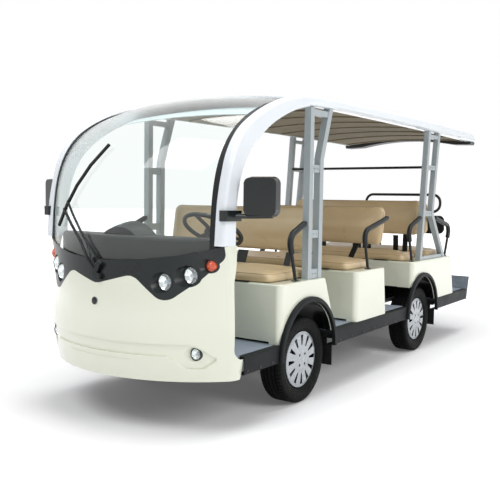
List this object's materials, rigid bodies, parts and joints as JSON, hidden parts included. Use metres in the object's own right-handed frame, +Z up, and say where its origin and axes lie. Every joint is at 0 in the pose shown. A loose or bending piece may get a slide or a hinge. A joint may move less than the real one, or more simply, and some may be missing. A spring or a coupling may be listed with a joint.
{
  "type": "electric shuttle bus",
  "caption": "Open-sided low-speed electric shuttle bus with a bow-fronted cab, large bent windscreen, forward bench rows, a rear-facing bench over a step platform and steered front wheels.",
  "frame": {"origin": "on the ground under the middle of the whole vehicle's bounding box", "axes": "+Z up, -Y towards the nose, +X towards the driver's side"},
  "size_m": [1.8654, 4.5807, 2.0628],
  "materials": {
    "ivory_body": "gloss",
    "white_rail": "gloss",
    "dark_trim": "satin",
    "black_gloss": "gloss",
    "silver_frame": "satin",
    "clear_glass": "polished",
    "vinyl_tan": "semi-gloss",
    "mat_grey": "matt",
    "chassis_black": "satin",
    "liner_beige": "satin",
    "lamp_clear": "polished",
    "lamp_amber": "gloss",
    "lamp_red": "gloss",
    "tyre_rubber": "matt",
    "wheel_silver": "satin",
    "bare_iron": "rough",
    "rubber_black": "matt"
  },
  "bodies": {
    "chassis": {"front_fascia": "ivory_body", "lamp_panel": "black_gloss", "front_lamps": "lamp_clear", "front_indicators": "lamp_amber", "chassis_frame": "chassis_black", "floor_deck": "chassis_black", "floor_mat": "mat_grey", "side_skirts": "dark_trim", "mud_flaps": "rubber_black", "seat_boxes": "ivory_body", "windscreen": "clear_glass", "windscreen_seals": "rubber_black", "side_rails": "white_rail", "roof_panel": "white_rail", "roof_liner": "liner_beige", "roof_rear_lip": "dark_trim", "roof_pillars": "silver_frame", "seat_cushions": "vinyl_tan", "seat_backs": "vinyl_tan", "back_supports": "chassis_black", "armrests": "chassis_black", "rear_handrail": "chassis_black", "rear_step": "dark_trim", "tail_lamps": "lamp_red", "dashboard": "dark_trim", "driver_controls": "chassis_black", "mirrors": "dark_trim", "wiper": "chassis_black", "front_axle": "bare_iron", "leaf_springs": "bare_iron", "rear_axle": "bare_iron", "battery_pack": "dark_trim"},
    "left_knuckle": {"knuckle_left": "bare_iron"},
    "right_knuckle": {"knuckle_right": "bare_iron"},
    "pitman": {"pitman_arm": "bare_iron"},
    "relay": {"tie_rod": "bare_iron"},
    "hand_wheel": {"steering_wheel": "rubber_black"},
    "left_front_wheel": {"tyre_front_left": "tyre_rubber", "wheel_front_left": "wheel_silver"},
    "right_front_wheel": {"tyre_front_right": "tyre_rubber", "wheel_front_right": "wheel_silver"},
    "left_rear_wheel": {"tyre_rear_left": "tyre_rubber", "wheel_rear_left": "wheel_silver"},
    "right_rear_wheel": {"tyre_rear_right": "tyre_rubber", "wheel_rear_right": "wheel_silver"}
  },
  "joints": [
    {"name": "steer_left", "type": "hinge", "parent": "chassis", "child": "left_knuckle", "pos_m": [0.56, -1.155, 0.28], "axis": [0, 0, 1], "range_deg": [-28, 28]},
    {"name": "steer_right", "type": "hinge", "parent": "chassis", "child": "right_knuckle", "pos_m": [-0.56, -1.155, 0.28], "axis": [0, 0, 1], "range_deg": [-28, 28]},
    {"name": "pitman_swing", "type": "hinge", "parent": "chassis", "child": "pitman", "pos_m": [0.295, -1.095, 0.228], "axis": [0, 0, 1], "range_deg": [-28, 28]},
    {"name": "relay_swivel", "type": "hinge", "parent": "left_knuckle", "child": "relay", "pos_m": [0.56, -1.05, 0.22], "axis": [0, 0, 1], "range_deg": [-28, 28]},
    {"name": "hand_wheel_turn", "type": "hinge", "parent": "chassis", "child": "hand_wheel", "pos_m": [0.35, -1.66, 1.115], "axis": [0, 0.5299, 0.848], "range_deg": [-448, 448]},
    {"name": "left_front_spin", "type": "hinge", "parent": "left_knuckle", "child": "left_front_wheel", "pos_m": [0.625, -1.155, 0.28], "axis": [1, 0, 0], "continuous": true},
    {"name": "right_front_spin", "type": "hinge", "parent": "right_knuckle", "child": "right_front_wheel", "pos_m": [-0.625, -1.155, 0.28], "axis": [1, 0, 0], "continuous": true},
    {"name": "left_rear_spin", "type": "hinge", "parent": "chassis", "child": "left_rear_wheel", "pos_m": [0.625, 0.83, 0.28], "axis": [1, 0, 0], "continuous": true},
    {"name": "right_rear_spin", "type": "hinge", "parent": "chassis", "child": "right_rear_wheel", "pos_m": [-0.625, 0.83, 0.28], "axis": [1, 0, 0], "continuous": true}
  ],
  "couplings": [
    {"joint": "steer_right", "follows": "steer_left", "ratio": 1},
    {"joint": "pitman_swing", "follows": "steer_left", "ratio": 1},
    {"joint": "relay_swivel", "follows": "steer_left", "ratio": -1},
    {"joint": "hand_wheel_turn", "follows": "steer_left", "ratio": 16}
  ]
}
